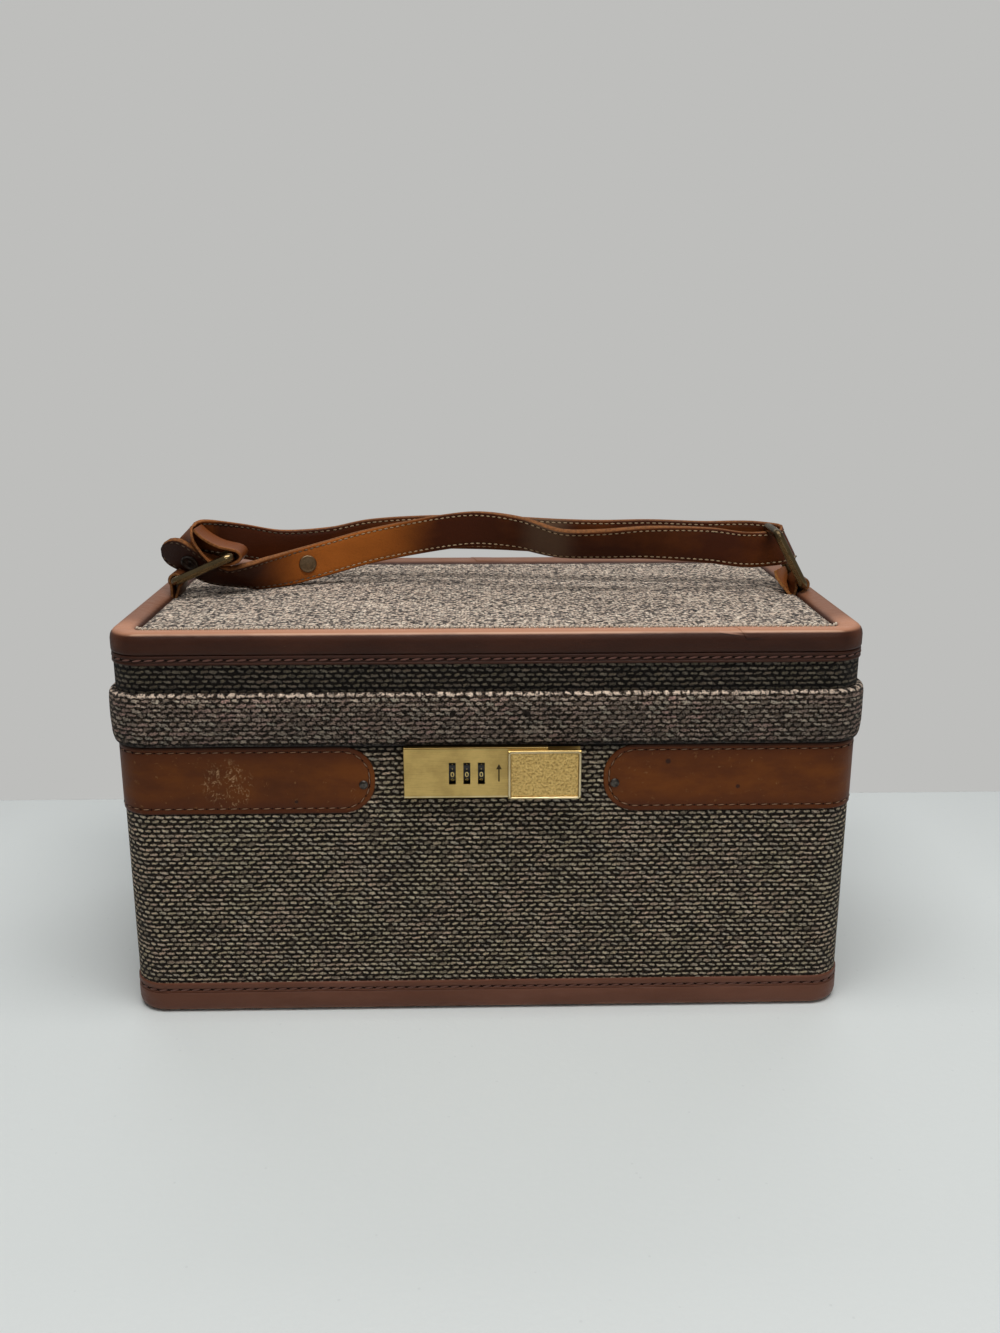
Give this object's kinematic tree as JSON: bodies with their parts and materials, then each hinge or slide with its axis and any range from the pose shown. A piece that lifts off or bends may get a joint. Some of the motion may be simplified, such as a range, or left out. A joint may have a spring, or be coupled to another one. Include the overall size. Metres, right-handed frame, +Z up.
{
  "type": "cosmetic train case",
  "caption": "Rigid rectangular cosmetic train case with tweed walls, hinged lid, combination lock on the front and a leather strap handle on two rings.",
  "frame": {"origin": "centre of the base face that the case stands on", "axes": "+X to the right along the front, +Y to the back where the hinge is, +Z up"},
  "size_m": [0.3592, 0.2049, 0.2347],
  "materials": {
    "tweed": "coarse brick-offset tweed, taupe on near-black",
    "tweed_top": "fine salt-and-pepper tweed",
    "padded_tweed": "padded tweed",
    "binding_vinyl": "satin mauve-brown vinyl",
    "tan_leather": "tan leather, stitched",
    "strap_leather": "cognac leather, stitched edges",
    "shell_board": "plywood",
    "lining_cloth": "plain lining",
    "lip_aluminium": "satin",
    "satin_brass": "satin brushed",
    "antique_brass": "antique",
    "steel": "plain",
    "rivet_gunmetal": "dark gunmetal",
    "dial_black": "black with pale numbers",
    "mirror_glass": "silvered",
    "frame_plastic": "brown",
    "tape": "woven tape"
  },
  "bodies": {
    "case_body": {"body_shell": "shell_board", "body_tweed_cover": "tweed", "bottom_binding": "binding_vinyl", "bottom_panel_cover": "binding_vinyl", "body_lining": "lining_cloth", "body_lip": "lip_aluminium", "back_pocket": "lining_cloth", "side_band_left": "tan_leather", "side_band_right": "tan_leather", "side_band_rivets": "rivet_gunmetal", "lock_base_plate": "satin_brass", "lock_housing": "satin_brass", "lock_back_box": "steel", "lock_rivets": "satin_brass", "dial_frame": "satin_brass", "dial_axle": "steel", "dial_spring": "steel", "hinge_leaf_body": "satin_brass", "hinge_pin": "steel", "hinge_rivets_body": "satin_brass", "stay_clip_body_left": "steel", "stay_clip_body_right": "steel"},
    "case_lid": {"lid_shell": "shell_board", "lid_tweed_side": "tweed", "lid_tweed_top": "tweed_top", "lid_binding": "binding_vinyl", "padded_band": "padded_tweed", "lid_lining": "lining_cloth", "lid_mirror": "mirror_glass", "mirror_frame": "frame_plastic", "hasp": "satin_brass", "hasp_rivets": "rivet_gunmetal", "hinge_leaf_lid": "satin_brass", "hinge_rivets_lid": "satin_brass", "stay_clip_lid_left": "steel", "stay_clip_lid_right": "steel", "stay_tape_left": "tape", "stay_tape_right": "tape", "handle_tab_left": "strap_leather", "handle_tab_right": "strap_leather", "strap_loop_left": "strap_leather", "strap_loop_right": "strap_leather", "strap_snap": "antique_brass"},
    "number_wheel_1": {"dial_1": "dial_black"},
    "number_wheel_2": {"dial_2": "dial_black"},
    "number_wheel_3": {"dial_3": "dial_black"},
    "latch": {"latch_slider": "satin_brass", "latch_bolt": "steel"},
    "left_ring": {"ring_left": "antique_brass"},
    "right_ring": {"ring_right": "antique_brass"},
    "handle": {"strap_front": "strap_leather", "strap_back": "strap_leather"}
  },
  "joints": [
    {"name": "lid_open", "type": "hinge", "parent": "case_body", "child": "case_lid", "pos_m": [0, 0.0996, 0.141], "axis": [-1, 0, 0], "range_deg": [0, 100], "deforming": ["stay_tape_left", "stay_tape_right"]},
    {"name": "dial_1_turn", "type": "hinge", "parent": "case_body", "child": "number_wheel_1", "pos_m": [-0.0176, -0.09385, 0.127], "axis": [1, 0, 0], "continuous": true},
    {"name": "dial_2_turn", "type": "hinge", "parent": "case_body", "child": "number_wheel_2", "pos_m": [-0.01075, -0.09385, 0.127], "axis": [1, 0, 0], "continuous": true},
    {"name": "dial_3_turn", "type": "hinge", "parent": "case_body", "child": "number_wheel_3", "pos_m": [-0.0039, -0.09385, 0.127], "axis": [1, 0, 0], "continuous": true},
    {"name": "latch_slide", "type": "slide", "parent": "case_body", "child": "latch", "axis": [1, 0, 0], "range_m": [-0.007, 0]},
    {"name": "ring_left_swing", "type": "hinge", "parent": "case_lid", "child": "left_ring", "pos_m": [-0.1634, 0, 0.2018], "axis": [0, -1, 0], "range_deg": [-12, 35]},
    {"name": "ring_right_swing", "type": "hinge", "parent": "case_lid", "child": "right_ring", "pos_m": [0.1682, 0, 0.198], "axis": [0, 1, 0], "range_deg": [-35, 18]},
    {"name": "handle_lift", "type": "slide", "parent": "case_lid", "child": "handle", "axis": [0, 0, 1], "range_m": [0, 0.025], "deforming": ["strap_loop_left", "strap_loop_right"]}
  ]
}
